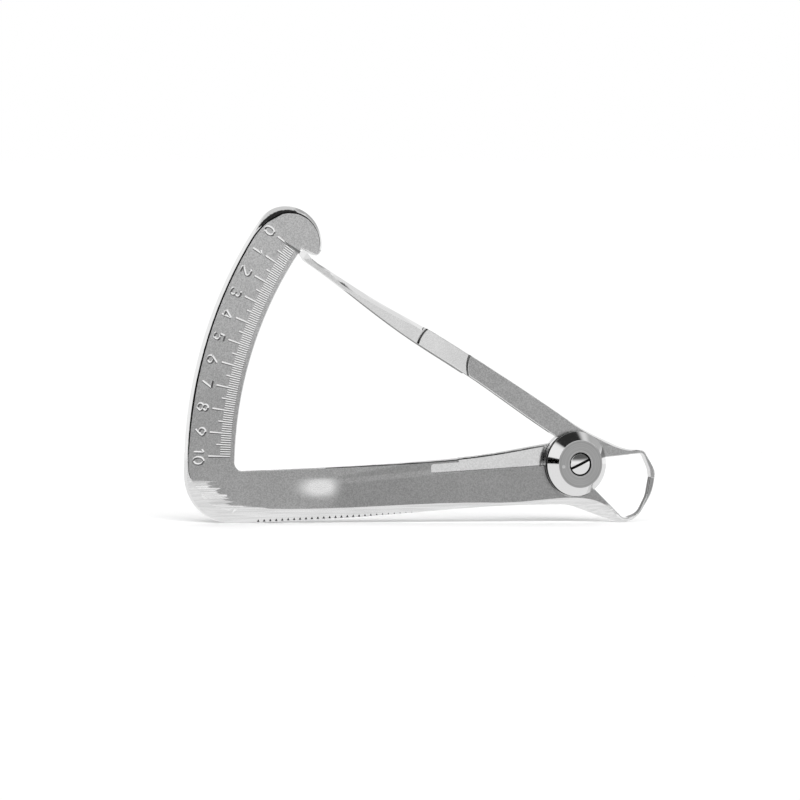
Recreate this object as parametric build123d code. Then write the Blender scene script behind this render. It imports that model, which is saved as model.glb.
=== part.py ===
"""Pincer caliper gauge: a spring-loaded thickness gauge for 0 to 10 mm.

Two flat steel arms turn on one pivot like a see-saw. The scale arm carries an arc scale on its left,
a finger grip below and the lower jaw on its right. The pointer arm carries the needle and the upper jaw.
Squeezing the arms together opens the jaws, and a flat spiral spring under the drum shuts them again.

Every outline is drawn about the pivot, lying flat: X to the right, Y up the gauge, Z towards the reader.
The pieces are then stood upright, with the reader in front on -Y. All sizes are in millimetres.
"""
import os
from math import asin, cos, degrees, dist, hypot, radians, sin

from build123d import *

# Measuring law: the jaw tips touch on a line JAW_RADIUS from the pivot and open to FULL_OPENING.
FULL_OPENING = 10.0
JAW_RADIUS = 17.45
TRAVEL = 2 * degrees(asin(FULL_OPENING / 2 / JAW_RADIUS))
ZERO_ANGLE = 144.6
JAW_ANGLE = -10.0
TIP_INNER = 17.1
TIP_OUTER = 18.2
TIP_GAP = 0.03

# Plates: the front faces of both arms are flush at Z = 0.
PLATE = 2.0
LAP_FLOOR = -1.10
LAP_BACK = -0.93
HUB_RADIUS = 6.6
HUB_CLEARANCE = 0.15
THINNED_FROM = HUB_RADIUS + 1.5
TIP_THIN_FRONT = 0.3
TIP_THIN_BACK = 0.6
SCALE_ARM_ROLL = 0.2
POINTER_ROLL = 0.15
NOSE_ROLL = 0.3
BEVEL_OVERRUN = 0.9
BEVEL_BOW = 0.04
GRIP_BOW = 0.02
RIM_BOW = 0.066
EDGE_BAND = 0.05

# Scale arm
SCALE_OUTER = 83.1
SCALE_INNER = 73.2
HEAD_ANGLE = 143.8
HEAD_RIGHT = (-54.8, 43.0)
HEAD_TOP = (-61.8, 51.55)
HEAD_CENTRE = (-61.6, 44.6)
HEAD_RADIUS = 6.97
HEEL_RADIUS = 9.5
HEEL_LOW = -10.3
STOP_GAP = 1.02
STOP_CORNER = 0.8
CROTCH_RADIUS = 1.6
CROTCH_ANGLE = 180.1
HUB_TOP = 141.0
HUB_LOW = -50.0
POCKET_END = -31.5
POCKET_LOW = -1.4
POCKET_LIP = 0.45
POCKET_LIP_END = (-25.5, 0.75)
POCKET_TOP = 9.0
POCKET_CORNER = 0.55

# Grip: a row of punched teeth along the lower edge
TOOTH_FIRST = -68.2
TOOTH_LINE = -9.9
TOOTH_PITCH = 1.255
TOOTH_COUNT = 27
TOOTH_WIDTH = 0.56
TOOTH_TALL = 0.52
TOOTH_FLOOR = -0.95
TOOTH_SLOPE = 0.025

# Pointer arm: distances out along the needle's line, and the face heights of its steps
HALF_LAP_END = 30.3
PAD_START = 30.9
PAD_END = 42.3
NEEDLE_SHOULDER = 72.6
NEEDLE_TIP = 77.0
PAD_FACE = -0.35
ROOT_FACE = -0.8
STEP_BAND = 0.6
BLADE_WIDTH = 4.0
JAW_INSIDE_TOP = 1.75

# Pivot
POST_RADIUS = 1.6
RIVET_RADIUS = 2.7
RIVET_DEPTH = 0.5
BUSH_RADIUS = 2.4
RUNNING_GAP = 0.05
WASHER_RADIUS = 5.2
DRUM_RADIUS = 6.5
DRUM_FLAT_RADIUS = 4.8
DRUM_WALL = 0.8
DRUM_TOP = 2.6
DRUM_LIFT = 0.03
CAVITY_RADIUS = 4.7
CAVITY_TOP = 1.5
SCREW_RADIUS = 2.15
SCREW_SEAT = 1.95
SCREW_SHANK = 1.0
SCREW_LENGTH = 2.5
SCREW_RUN_OUT = 0.4
SCREW_EDGE = 0.12
SEAT_MARGIN = 0.25
SLOT_WIDTH = 0.45
SLOT_DEPTH = 0.3
SLOT_ANGLE = 24.0
PIN_RADIUS = 0.35
PIN_ANGLE = 187.0

# Spiral spring: a flat strip wound round the bush
STRIP_THICK = 0.18
STRIP_PITCH = 0.42
STRIP_TALL = 1.2
STRIP_BASE = 0.15
SPRING_START = BUSH_RADIUS + 0.12
SPRING_HALF_TURNS = 6


def polar(radius, angle, centre=(0, 0)):
    """Point at a radius and angle in degrees about the pivot, or about another centre."""
    return (centre[0] + radius * cos(radians(angle)), centre[1] + radius * sin(radians(angle)))


def along(out, side):
    """Point at a distance out along the needle's line and to its upper side."""
    return polar(side, ZERO_ANGLE - 90, polar(out, ZERO_ANGLE))


BLADE_TOP = along(9, 6.15)


def plate(face, back, front):
    """A flat face on Z = 0 made solid from the back height to the front height."""
    return Pos(0, 0, back) * extrude(face, front - back)


def disc(radius, back, front, centre=(0, 0)):
    """A round plug between two heights."""
    return Pos(centre[0], centre[1], back) * Cylinder(
        radius, front - back, align=(Align.CENTER, Align.CENTER, Align.MIN)
    )


def cone(back_radius, front_radius, back, front):
    """A cone about the pivot between two heights."""
    return Pos(0, 0, back) * Cone(
        back_radius, front_radius, front - back, align=(Align.CENTER, Align.CENTER, Align.MIN)
    )


def corner(face, point):
    """The corner of a face that lies nearest to a point."""
    return face.vertices().sort_by_distance((point[0], point[1], 0))[0]


def tip_ends(side):
    """Outer and inner ends of a jaw's contact edge, which points at the pivot, set off to one side of it."""
    return [polar(side, JAW_ANGLE + 90, polar(radius, JAW_ANGLE)) for radius in (TIP_OUTER, TIP_INNER)]


def jaw_wedges():
    """The two wedges that thin both jaws from the hub to their tips, front and back."""
    start = THINNED_FROM
    end = TIP_OUTER
    front = make_face(
        Polyline((start, 0), (end, -TIP_THIN_FRONT), (end, 1), (start, 1), close=True)
    )
    back = make_face(
        Polyline(
            (start, -PLATE),
            (end, -PLATE + TIP_THIN_BACK),
            (end, -PLATE - 1),
            (start, -PLATE - 1),
            close=True,
        )
    )
    upright = Rot(90, 0, 0)
    return [extrude(upright * face, 20, both=True) for face in (front, back)]


def bevel_section(inner, outer, depth, height=0.0, bow=BEVEL_BOW):
    """Section of a bevel's cutter. It starts at the inner point, at the face's height, and bows down by the
    depth to the outer point, on the outline. The bow is a share of its length. The rest is straight."""
    run = dist(inner, outer)
    across = ((outer[0] - inner[0]) / run, (outer[1] - inner[1]) / run)
    arc = ThreePointArc((0, 0), (run / 2 + bow * depth, -depth / 2 + bow * run), (run, -depth))
    way_out = arc % 1
    reach = run + BEVEL_OVERRUN
    low = -depth + BEVEL_OVERRUN * way_out.Y / way_out.X
    profile = make_face([arc, Polyline((run, -depth), (reach, low), (reach, 1), (0, 1), (0, 0))])
    plane = Plane(
        origin=(inner[0], inner[1], height),
        x_dir=(across[0], across[1], 0),
        z_dir=(across[1], -across[0], 0),
    )
    return plane * profile


def bevel_along(line, span, widths, depths, steps, height=0.0, bow=RIM_BOW):
    """Cutter for a bevel that follows a line over a span of its length, given in shares. It lies on the
    right of the line, and its width and depth change evenly from one end to the other."""
    first, last = span
    sections = []
    for step in range(steps + 1):
        part = step / steps
        share = first + (last - first) * part
        outer = line.position_at(share)
        ahead = line.tangent_at(share)
        width = widths[0] + (widths[1] - widths[0]) * part
        depth = depths[0] + (depths[1] - depths[0]) * part
        inner = (outer.X + width * ahead.Y, outer.Y - width * ahead.X)
        sections.append(bevel_section(inner, (outer.X, outer.Y), depth, height, bow))
    return loft(sections)


def rim_edges(solid, low, high):
    """Edges whose ends and middle lie between two heights, without the hub's arc and the thinning line."""
    rim = []
    for edge in solid.edges():
        heights = [(edge @ share).Z for share in (0, 0.5, 1)]
        middle = edge @ 0.5
        on_hub = hypot(middle.X, middle.Y) < HUB_RADIUS + EDGE_BAND
        on_thinning = abs(middle.X - THINNED_FROM) < EDGE_BAND
        if low < min(heights) and max(heights) < high and not on_hub and not on_thinning:
            rim.append(edge)
    return rim


def arm_top_line():
    """Upper edge of the straight arm, from the corner under the scale to the hub."""
    crotch = polar(SCALE_INNER, CROTCH_ANGLE)
    hub = polar(HUB_RADIUS, HUB_TOP)
    return Spline(
        crotch, (-52.0, 0.3), (-30.0, 1.25), (-16.4, 2.5), hub, tangents=[(1, 0.01), (1, 0.13)]
    )


def scale_outline():
    """Outline of the scale arm: arc scale with its head, straight arm, hub and lower jaw."""
    stop_angle = ZERO_ANGLE - degrees(asin(STOP_GAP / SCALE_INNER))
    stop_inner = polar(SCALE_INNER, stop_angle)
    stop_outer = along(69.6, 1.75)
    arc_start = polar(SCALE_OUTER, HEAD_ANGLE)
    heel_angle = 180 + degrees(asin(-HEEL_LOW / SCALE_OUTER))
    heel = polar(SCALE_OUTER, heel_angle)
    crotch = polar(SCALE_INNER, CROTCH_ANGLE)
    jaw_root = (-4.0, -8.15)
    tip_outer, tip_inner = tip_ends(-TIP_GAP / 2)

    edges = [
        Line(stop_inner, stop_outer),
        Line(stop_outer, HEAD_RIGHT),
        ThreePointArc(HEAD_RIGHT, (-56.0, 48.5), HEAD_TOP),
        TangentArc(HEAD_TOP, arc_start, tangent=(-1, 0.05)),
        CenterArc((0, 0), SCALE_OUTER, HEAD_ANGLE, heel_angle - HEAD_ANGLE),
        Spline(
            heel, (-53.0, -9.9), (-30.0, -8.75), (-14.0, -8.1), jaw_root,
            tangents=[(1, 0.005), (1, -0.015)],
        ),
        FilletPolyline(
            jaw_root, (-1.0, -8.2), (12.8, -13.1), (17.4, -6.0), tip_outer,
            radius=[12, 5.3, 8],
        ),
        Line(tip_outer, tip_inner),
        FilletPolyline(
            tip_inner, (16.1, -6.8), (14.3, -10.2), (10.9, -11.4), polar(HUB_RADIUS, HUB_LOW),
            radius=[5, 3, 1.8],
        ),
        CenterArc((0, 0), HUB_RADIUS, HUB_LOW, HUB_TOP - HUB_LOW),
        arm_top_line(),
        CenterArc((0, 0), SCALE_INNER, CROTCH_ANGLE, stop_angle - CROTCH_ANGLE),
    ]
    face = make_face(edges)
    face = fillet(corner(face, heel), HEEL_RADIUS)
    face = fillet(corner(face, crotch), CROTCH_RADIUS)
    face = fillet(corner(face, stop_outer), STOP_CORNER)
    return face


def head_bevel():
    """Cutter for the polished rim round the scale's head. It fades out where the head meets the arc."""

    def round_head(angle, width, depth):
        inner = polar(HEAD_RADIUS - width, angle, HEAD_CENTRE)
        return bevel_section(inner, polar(HEAD_RADIUS, angle, HEAD_CENTRE), depth, bow=RIM_BOW)

    def down_the_arc(angle, width, depth):
        inner = polar(SCALE_OUTER - width, angle)
        return bevel_section(inner, polar(SCALE_OUTER, angle), depth, bow=RIM_BOW)

    return loft([
        round_head(-14, 0.5, 0.5),
        round_head(18, 0.8, 0.95),
        round_head(50, 1.0, 1.2),
        round_head(85, 1.15, 1.4),
        round_head(115, 1.1, 1.35),
        round_head(138, 0.8, 0.95),
        down_the_arc(145.3, 0.4, 0.4),
        down_the_arc(147, 0.18, 0.16),
    ])


def lower_bevel():
    """Cutters for the polished bevel from the heel, along the grip and under the hub, out to the jaw's tip.
    Each of the four runs starts on the section that the one before ends on. The bevel is shallow at the
    heel and under the jaw, where the gauge stands, so that its foot is wide enough to keep it upright."""
    sections = [
        bevel_section((-82.87, 0.6), (-83.09, 0.6), 0.12, bow=GRIP_BOW),
        bevel_section((-81.9, -2.2), (-82.85, -3.2), 0.25, bow=GRIP_BOW),
        bevel_section((-79.0, -5.2), (-81.0, -7.4), 0.28, bow=GRIP_BOW),
        bevel_section((-73.9, -7.2), (-74.6, -10.1), 0.28, bow=GRIP_BOW),
        bevel_section((-66.0, -7.6), (-66.2, -10.2), 0.28, bow=GRIP_BOW),
        bevel_section((-53.2, -7.8), (-53.2, -9.9), 0.28, bow=GRIP_BOW),
        bevel_section((-33.9, -7.4), (-33.9, -8.95), 0.3, bow=GRIP_BOW),
        bevel_section((-16.5, -7.5), (-16.5, -8.15), 0.3, bow=GRIP_BOW),
        bevel_section((-8.0, -7.15), (-8.1, -8.1), 0.45, bow=GRIP_BOW),
        bevel_section((-1.5, -6.8), (-1.9, -8.15), 0.6, bow=GRIP_BOW),
        bevel_section((3.3, -7.2), (2.4, -9.4), 0.7, bow=GRIP_BOW),
        bevel_section((7.1, -8.7), (6.2, -10.75), 0.5, bow=GRIP_BOW),
        bevel_section((10.2, -10.9), (9.6, -11.97), 0.25, bow=GRIP_BOW),
        bevel_section((12.8, -11.35), (12.9, -12.4), 0.3, bow=GRIP_BOW),
        bevel_section((15.0, -9.6), (15.9, -9.9), 0.35, bow=GRIP_BOW),
        bevel_section((16.2, -6.3), (17.3, -6.3), 0.35, bow=GRIP_BOW),
        bevel_section(polar(TIP_INNER, -8), polar(TIP_OUTER + 0.1, -8), 0.35, bow=GRIP_BOW),
    ]
    return [loft(run) for run in (sections[:5], sections[4:8], sections[7:12], sections[11:])]


def lap_cut():
    """Front recess of the scale arm: a round seat for the pointer's hub and a long pocket for its blade. The
    pocket's far end is closed by a lip, and the rest of it is open above, where the blade comes down."""
    low_corner = (POCKET_END, POCKET_LOW)
    top_corner = (POCKET_END, POCKET_LIP)
    lip_end = POCKET_LIP_END
    open_above = (lip_end[0] + 1, POCKET_TOP)
    pocket = make_face(
        Polyline(low_corner, (0, 0), (0, POCKET_TOP), open_above, lip_end, top_corner, close=True)
    )
    pocket = fillet([corner(pocket, low_corner), corner(pocket, top_corner)], POCKET_CORNER)
    return plate(pocket, LAP_FLOOR, 1) + disc(HUB_RADIUS + HUB_CLEARANCE, LAP_FLOOR, 1)


def grip_teeth():
    """Punched teeth in the lower bevel, where a finger presses: triangular pits with their points up."""
    half = TOOTH_WIDTH / 2
    low = -TOOTH_TALL / 2
    outline = Polyline((-half, low), (half, low), (0, -low), close=True)
    pit = plate(make_face(outline), TOOTH_FLOOR, 1)
    steps = [index * TOOTH_PITCH for index in range(TOOTH_COUNT)]
    return [Pos(TOOTH_FIRST + step, TOOTH_LINE + TOOTH_SLOPE * step) * pit for step in steps]


def make_scale_arm():
    """Scale arm: one plate, lapped to half thickness at the pivot and thinned towards its jaw tip."""
    arm = plate(scale_outline(), -PLATE, 0)
    arm -= jaw_wedges()
    arm = fillet(rim_edges(arm, -TIP_THIN_FRONT - EDGE_BAND, EDGE_BAND), SCALE_ARM_ROLL)
    arm = fillet(rim_edges(arm, -PLATE - EDGE_BAND, -PLATE + TIP_THIN_BACK + EDGE_BAND), SCALE_ARM_ROLL)
    arm -= head_bevel()
    arm -= lower_bevel()
    arm -= bevel_along(arm_top_line(), span=(0.28, 0.72), widths=(0.2, 0.45), depths=(0.2, 0.55), steps=8)
    arm -= lap_cut()
    arm -= bevel_along(
        arm_top_line(), span=(0.703, 0.99), widths=(0.45, 0.5), depths=(0.5, 0.6), steps=6, height=LAP_FLOOR
    )
    arm -= disc(POST_RADIUS, -2 * PLATE, PLATE)
    arm -= cone(RIVET_RADIUS, POST_RADIUS, -PLATE, -PLATE + RIVET_DEPTH)
    arm -= grip_teeth()
    return arm


def upper_jaw_line():
    """Outer line of the upper jaw, from the blade over the hub to the tip."""
    knee = (13.6, 2.5)
    tip_outer = tip_ends(TIP_GAP / 2)[0]
    return [
        Spline(BLADE_TOP, (2.0, 6.75), (8.0, 4.0), knee, tangents=[(0.84, -0.54), (1, -0.03)]),
        FilletPolyline(knee, (15.5, 2.42), (17.95, -1.75), tip_outer, radius=[1.3, 2.5]),
    ]


def pointer_outline():
    """Outline of the pointer arm: needle, root, blade, hub and upper jaw."""
    tip_outer, tip_inner = tip_ends(TIP_GAP / 2)
    blade_low = along(6.2, 2.1)
    edges = [
        Spline(
            along(NEEDLE_SHOULDER, 0.92), along(63.5, 1.3), along(53.4, 2.15), along(41.9, 3.7),
            along(31.4, 4.66), along(20.3, 5.5), BLADE_TOP,
        ),
        *upper_jaw_line(),
        Line(tip_outer, tip_inner),
        FilletPolyline(tip_inner, (16.7, -1.5), (15.2, 1.85), (6.3, 1.1), radius=[3, 1]),
        Polyline((6.3, 1.1), (0, 0), blade_low),
        Spline(
            blade_low, along(15.7, 1.6), along(28.4, 1.15), along(37.9, 0.4), along(46.8, -0.12),
            along(57.0, -0.15), along(NEEDLE_SHOULDER, -0.45),
        ),
        Polyline(
            along(NEEDLE_SHOULDER, -0.45), along(73.3, -0.26), along(NEEDLE_TIP, -0.04),
            along(NEEDLE_TIP, 0.04), along(73.3, 0.34), along(NEEDLE_SHOULDER, 0.92),
        ),
    ]
    return make_face(edges) + Circle(HUB_RADIUS)


def needle_profile():
    """Side view of the pointer along its needle, which sinks from the root and then jogs over the scale."""
    slope_start = PAD_END + 0.6
    beyond = NEEDLE_TIP + 1
    side = make_face(
        Polyline(
            (-30, 0),
            (-30, -PLATE),
            (62, -PLATE),
            (71.2, -1.75),
            (72.5, 0.02),
            (72.9, 0.1),
            (beyond, 0.1),
            (beyond, 0.16),
            (73.2, 0.55),
            (72.0, 0.42),
            (70.4, -1.05),
            (55.0, -0.85),
            (slope_start, ROOT_FACE),
            (slope_start, 0),
            close=True,
        )
    )
    upright = Rot(0, 0, ZERO_ANGLE) * Rot(90, 0, 0)
    return extrude(upright * side, 40, both=True)


def step_cut(top_end, middle, low_end, height):
    """Cutter that sinks the needle's side of a curved line across the arm to a lower face height."""
    line = ThreePointArc(along(*top_end), along(*middle), along(*low_end))
    beyond = PAD_END + 8
    rest = Polyline(
        line @ 1, along(low_end[0], -3), along(beyond, -3), along(beyond, 8), along(top_end[0], 8), line @ 0
    )
    return plate(make_face([line, rest]), height, 1)


def needle_bevel():
    """Cutter for the polished slope above the needle's ridge, from the step at the root out to the tip."""

    def section(out, ridge, edge, depth, height):
        return bevel_section(along(out, ridge), along(out, edge), depth, height)

    return loft([
        section(PAD_END + 0.3, 2.75, 3.65, 0.5, ROOT_FACE),
        section(45.4, 2.44, 3.3, 0.5, -0.8),
        section(48.4, 1.85, 2.95, 0.5, -0.82),
        section(52.0, 1.35, 2.35, 0.45, -0.83),
        section(57.0, 0.8, 1.85, 0.4, -0.88),
        section(63.5, 0.5, 1.3, 0.3, -0.95),
        section(70.4, 0.35, 0.97, 0.22, -1.05),
    ])


def upper_jaw_bevel():
    """Cutter for the bevel along the outside of the upper jaw. It widens from the blade to the tip."""
    line = Wire([edge for part in upper_jaw_line() for edge in part.edges()])
    return bevel_along(
        line, span=(0.1, 0.98), widths=(0.18, 0.7), depths=(0.13, 0.4), steps=16, bow=BEVEL_BOW
    )


def needle_place(edge):
    """Distance of an edge's middle out along the needle's line from the pivot."""
    middle = edge @ 0.5
    return middle.X * cos(radians(ZERO_ANGLE)) + middle.Y * sin(radians(ZERO_ANGLE))


def step_noses(arm):
    """The long front edges across the arm where the blade ends and where the pad ends."""
    noses = []
    for out, face in ((PAD_START, 0), (PAD_END, PAD_FACE)):
        for edge in arm.edges():
            near = abs(needle_place(edge) - out) < STEP_BAND and abs((edge @ 0.5).Z - face) < EDGE_BAND
            if near and edge.length > BLADE_WIDTH / 2:
                noses.append(edge)
    return noses


def pointer_rim(arm):
    """Other front edges that get a small roll: the blade, the pad and the inside of the jaw."""
    front = rim_edges(arm, PAD_FACE - EDGE_BAND, EDGE_BAND)
    blade = [edge for edge in front if HUB_RADIUS < needle_place(edge) < PAD_END + STEP_BAND]
    inside = [edge for edge in front if (edge @ 0.5).X > HUB_RADIUS and (edge @ 0.5).Y < JAW_INSIDE_TOP]
    return blade + [edge for edge in inside if hypot((edge @ 0.5).X, (edge @ 0.5).Y) < TIP_INNER]


def make_pointer_arm():
    """Pointer arm: one plate, lapped from behind at the pivot, stepped back towards its needle."""
    arm = plate(pointer_outline(), -PLATE, 1) & needle_profile()
    arm -= step_cut((PAD_START + 0.8, 5.6), (PAD_START, 2.6), (PAD_START - 2.5, 0.4), PAD_FACE)
    arm -= step_cut((PAD_END - 0.6, 4.6), (PAD_END, 1.3), (PAD_END - 0.9, -1.0), ROOT_FACE)
    arm -= jaw_wedges()
    half_thick = Pos(HALF_LAP_END / 2, 0, LAP_BACK - PLATE) * Box(HALF_LAP_END, 30, 2 * PLATE)
    arm -= Rot(0, 0, ZERO_ANGLE) * half_thick
    arm -= disc(HUB_RADIUS + HUB_CLEARANCE, -2 * PLATE, LAP_BACK)
    arm = fillet(step_noses(arm), NOSE_ROLL)
    arm = fillet(pointer_rim(arm), POINTER_ROLL)
    arm -= needle_bevel()
    arm -= upper_jaw_bevel()
    arm -= disc(BUSH_RADIUS, -2 * PLATE, PLATE)
    return arm


def make_pivot_post():
    """Post riveted flush into the scale arm from behind, with a tapped front end."""
    post = disc(POST_RADIUS, -PLATE, CAVITY_TOP)
    rivet = cone(RIVET_RADIUS, POST_RADIUS, -PLATE, -PLATE + RIVET_DEPTH)
    tapped_end = SCREW_SEAT - SCREW_LENGTH - SCREW_RUN_OUT
    return post + rivet - disc(SCREW_SHANK, tapped_end, DRUM_TOP)


def make_thrust_washer():
    """Thin brass washer between the two laps."""
    ring = disc(WASHER_RADIUS, LAP_FLOOR, LAP_BACK - 0.02)
    return ring - disc(POST_RADIUS + 0.1, -PLATE, 0)


def make_pivot_bush():
    """Bush pressed into the pointer's hub. Its front end is slotted for the spring's inner end."""
    bush = disc(BUSH_RADIUS, LAP_BACK, CAVITY_TOP - 0.05)
    bush -= disc(POST_RADIUS + RUNNING_GAP, -PLATE, PLATE)
    slot_deep = CAVITY_TOP - STRIP_BASE
    slot = Pos(BUSH_RADIUS, 0, CAVITY_TOP) * Box(2, STRIP_THICK + 0.1, 2 * slot_deep)
    return bush - slot


def make_spring_drum():
    """Drum over the spring: a shallow cup with a broad chamfer, held by the screw."""
    drum = disc(DRUM_RADIUS, DRUM_LIFT, DRUM_WALL)
    drum += cone(DRUM_RADIUS, DRUM_FLAT_RADIUS, DRUM_WALL, DRUM_TOP)
    drum -= disc(CAVITY_RADIUS, 0, CAVITY_TOP)
    drum -= disc(SCREW_RADIUS + SEAT_MARGIN, SCREW_SEAT, DRUM_TOP + 1)
    drum -= disc(SCREW_SHANK + RUNNING_GAP, 0, DRUM_TOP)
    drum -= disc(PIN_RADIUS, 0, DRUM_TOP + 1, pin_centre())
    return drum


def spring_end_radius():
    """Mid-line radius of the spring's outermost turn."""
    return SPRING_START + SPRING_HALF_TURNS * STRIP_PITCH / 2


def pin_centre():
    """Centre of the pin that holds the spring's outer end."""
    return polar(spring_end_radius(), PIN_ANGLE)


def make_drum_pin():
    """Pin riveted through the drum, which holds the spring's outer end."""
    return disc(PIN_RADIUS, STRIP_BASE, DRUM_TOP + 0.03, pin_centre())


def make_torsion_spring():
    """Flat spiral spring, wound in half turns from the bush's slot out to the drum's pin."""
    step = STRIP_PITCH / 2
    outer_arcs = []
    inner_arcs = []
    for index in range(SPRING_HALF_TURNS):
        centre = (step if index % 2 else 0, 0)
        radius = SPRING_START + index * step
        start = 180 * index
        outer_arcs.append(CenterArc(centre, radius + STRIP_THICK / 2, start, 180))
        inner_arcs.append(CenterArc(centre, radius - STRIP_THICK / 2, start, 180))
    centre = (step if SPRING_HALF_TURNS % 2 else 0, 0)
    radius = spring_end_radius()
    last_turn = PIN_ANGLE - degrees(PIN_RADIUS / radius) - 2
    outer_arcs.append(CenterArc(centre, radius + STRIP_THICK / 2, 0, last_turn))
    inner_arcs.append(CenterArc(centre, radius - STRIP_THICK / 2, 0, last_turn))
    end = Line(outer_arcs[-1] @ 1, inner_arcs[-1] @ 1)
    begin = Line(outer_arcs[0] @ 0, inner_arcs[0] @ 0)
    strip = make_face(outer_arcs + inner_arcs + [end, begin])
    tab = Pos(BUSH_RADIUS - 0.2, 0) * Rectangle(0.9, STRIP_THICK)
    return plate(strip + tab, STRIP_BASE, STRIP_BASE + STRIP_TALL)


def make_pivot_screw():
    """Slotted cheese-head screw, sunk flush in the drum's face."""
    head = disc(SCREW_RADIUS, SCREW_SEAT, DRUM_TOP)
    head = fillet(head.edges().sort_by(Axis.Z)[-1], SCREW_EDGE)
    slot = Box(2 * SCREW_RADIUS + 1, SLOT_WIDTH, 2 * SLOT_DEPTH)
    slot = Pos(0, 0, DRUM_TOP) * Rot(0, 0, SLOT_ANGLE) * slot
    shank = disc(SCREW_SHANK - 0.02, SCREW_SEAT - SCREW_LENGTH, SCREW_SEAT)
    return head - slot + shank


def main():
    """Builds every piece, stands the gauge up on its lower edge and writes one file for each piece."""
    pieces = {
        "scale_arm": make_scale_arm(),
        "pointer_arm": make_pointer_arm(),
        "pivot_post": make_pivot_post(),
        "thrust_washer": make_thrust_washer(),
        "pivot_bush": make_pivot_bush(),
        "spring_drum": make_spring_drum(),
        "drum_pin": make_drum_pin(),
        "torsion_spring": make_torsion_spring(),
        "pivot_screw": make_pivot_screw(),
    }
    upright = {name: Rot(90, 0, 0) * piece for name, piece in pieces.items()}
    solids = [solid for piece in upright.values() for solid in piece.solids()]
    box = Compound(solids).bounding_box()
    place = Pos(-box.center().X, -box.center().Y, -box.min.Z)
    os.makedirs("parts", exist_ok=True)
    for name, piece in upright.items():
        export_step(place * piece, f"parts/{name}.step")
    print("size", box.size)
    print("pivot at", -box.center().X, -box.center().Y, -box.min.Z, "travel", TRAVEL)


main()
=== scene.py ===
"""Looks of the pincer caliper gauge: ground and polished steel, an engraved scale, a turned drum.

Sizes are written in millimetres about the pivot: x to the right, y up, h out of the front faces
towards the reader. place() turns them into the frame's metres, and measured() turns them back.
"""
import math

import bmesh
import bpy
import numpy as np
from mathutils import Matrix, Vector


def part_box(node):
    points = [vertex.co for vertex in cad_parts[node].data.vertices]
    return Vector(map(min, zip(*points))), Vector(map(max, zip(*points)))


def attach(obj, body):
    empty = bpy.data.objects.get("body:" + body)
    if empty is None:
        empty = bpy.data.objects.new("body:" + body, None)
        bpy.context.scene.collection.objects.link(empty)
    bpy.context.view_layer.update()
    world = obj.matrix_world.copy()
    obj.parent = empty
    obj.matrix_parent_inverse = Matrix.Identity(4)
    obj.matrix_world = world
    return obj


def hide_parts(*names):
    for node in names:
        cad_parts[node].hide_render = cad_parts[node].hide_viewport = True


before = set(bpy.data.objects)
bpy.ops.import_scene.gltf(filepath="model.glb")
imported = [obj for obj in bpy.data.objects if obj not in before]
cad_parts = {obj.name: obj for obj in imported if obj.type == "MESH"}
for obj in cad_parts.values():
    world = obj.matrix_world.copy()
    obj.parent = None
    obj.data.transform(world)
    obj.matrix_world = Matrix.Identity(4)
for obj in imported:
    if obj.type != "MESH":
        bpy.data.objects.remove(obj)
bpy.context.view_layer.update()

MM = 0.001
post_low, post_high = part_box("pivot_post")
PIVOT_X = (post_low.x + post_high.x) / 2
PIVOT_Z = (post_low.z + post_high.z) / 2
FRONT_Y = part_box("scale_arm")[0].y
PLATE = 2.0

# Scale: the law that turns an opening into an angle, radii of the marks and digits, widths of the grooves
ZERO_ANGLE = 144.6
JAW_RADIUS = 17.45
MARK_INNER = 74.2
TENTH_OUTER, HALF_OUTER, WHOLE_OUTER = 76.35, 77.25, 78.8
MARK_WIDTH = 0.3
TENTH_WIDTH, HALF_WIDTH, WHOLE_WIDTH = 0.32, 0.4, 0.48
DIGIT_RADIUS = 80.8
DIGIT_HEIGHT = 2.1
DIGIT_WIDTH = 1.4
DIGIT_BOX = 0.64
DIGIT_ADVANCE = 1.75
DIGIT_STROKE = 0.5
RIM_LINE = 0.4
# Cutters of grooves: how far they stand over the face, and how low their keel lies in shares of the width
LIP_HEIGHT = 0.06
KEEL_DROP = 0.2

# Rubbed oval on the scale arm, smoother and painted bright as a highlight: centre x and y, half length and half
# height
SPOT = (-55.2, -3.6, 6.6, 3.0)
# Shares by which the band of painted shade is darker and the head is painted lighter
PAINTED_SHADE_DARKER = 0.8
HEAD_PAINTED_LIGHTER = 1.35

# Share of a ground flat's normal that points straight out of it
FLAT = 0.9998


def place(x, y, h):
    """Rows of frame coordinates in metres from arrays of x, y and h in millimetres about the pivot."""
    x, y, h = np.broadcast_arrays(np.asarray(x, float), np.asarray(y, float), np.asarray(h, float))
    return np.stack([PIVOT_X + x * MM, FRONT_Y - h * MM, PIVOT_Z + y * MM], axis=-1)


def measured(points):
    """x, y and h in millimetres about the pivot from rows of frame coordinates: the reverse of place()."""
    x, depth, z = points.T
    return (x - PIVOT_X) / MM, (z - PIVOT_Z) / MM, (FRONT_Y - depth) / MM


def read(items, name, width=1, kind=float):
    """One attribute of all faces, corners or points of a mesh, with a row for each where it is a vector."""
    values = np.zeros(len(items) * width, kind)
    items.foreach_get(name, values)
    return values.reshape(-1, width) if width > 1 else values


def linear(code):
    """Linear colour from an sRGB hex code."""
    channels = np.array([int(code[i : i + 2], 16) for i in (1, 3, 5)]) / 255
    low = channels / 12.92
    high = ((channels + 0.055) / 1.055) ** 2.4
    return (*np.where(channels <= 0.04045, low, high), 1.0)


def tinted(code, share):
    """Linear colour from a hex code, made lighter or darker by a share."""
    return (*(channel * share for channel in linear(code)[:3]), 1.0)


def add(tree, kind, links=None, **settings):
    """Adds a node. Each entry of links is an input with a value or with the output that feeds it."""
    new = tree.nodes.new(kind)
    for name, value in settings.items():
        setattr(new, name, value)
    for name, value in (links or {}).items():
        if isinstance(value, bpy.types.NodeSocket):
            tree.links.new(value, new.inputs[name])
        else:
            new.inputs[name].default_value = value
    return new


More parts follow.
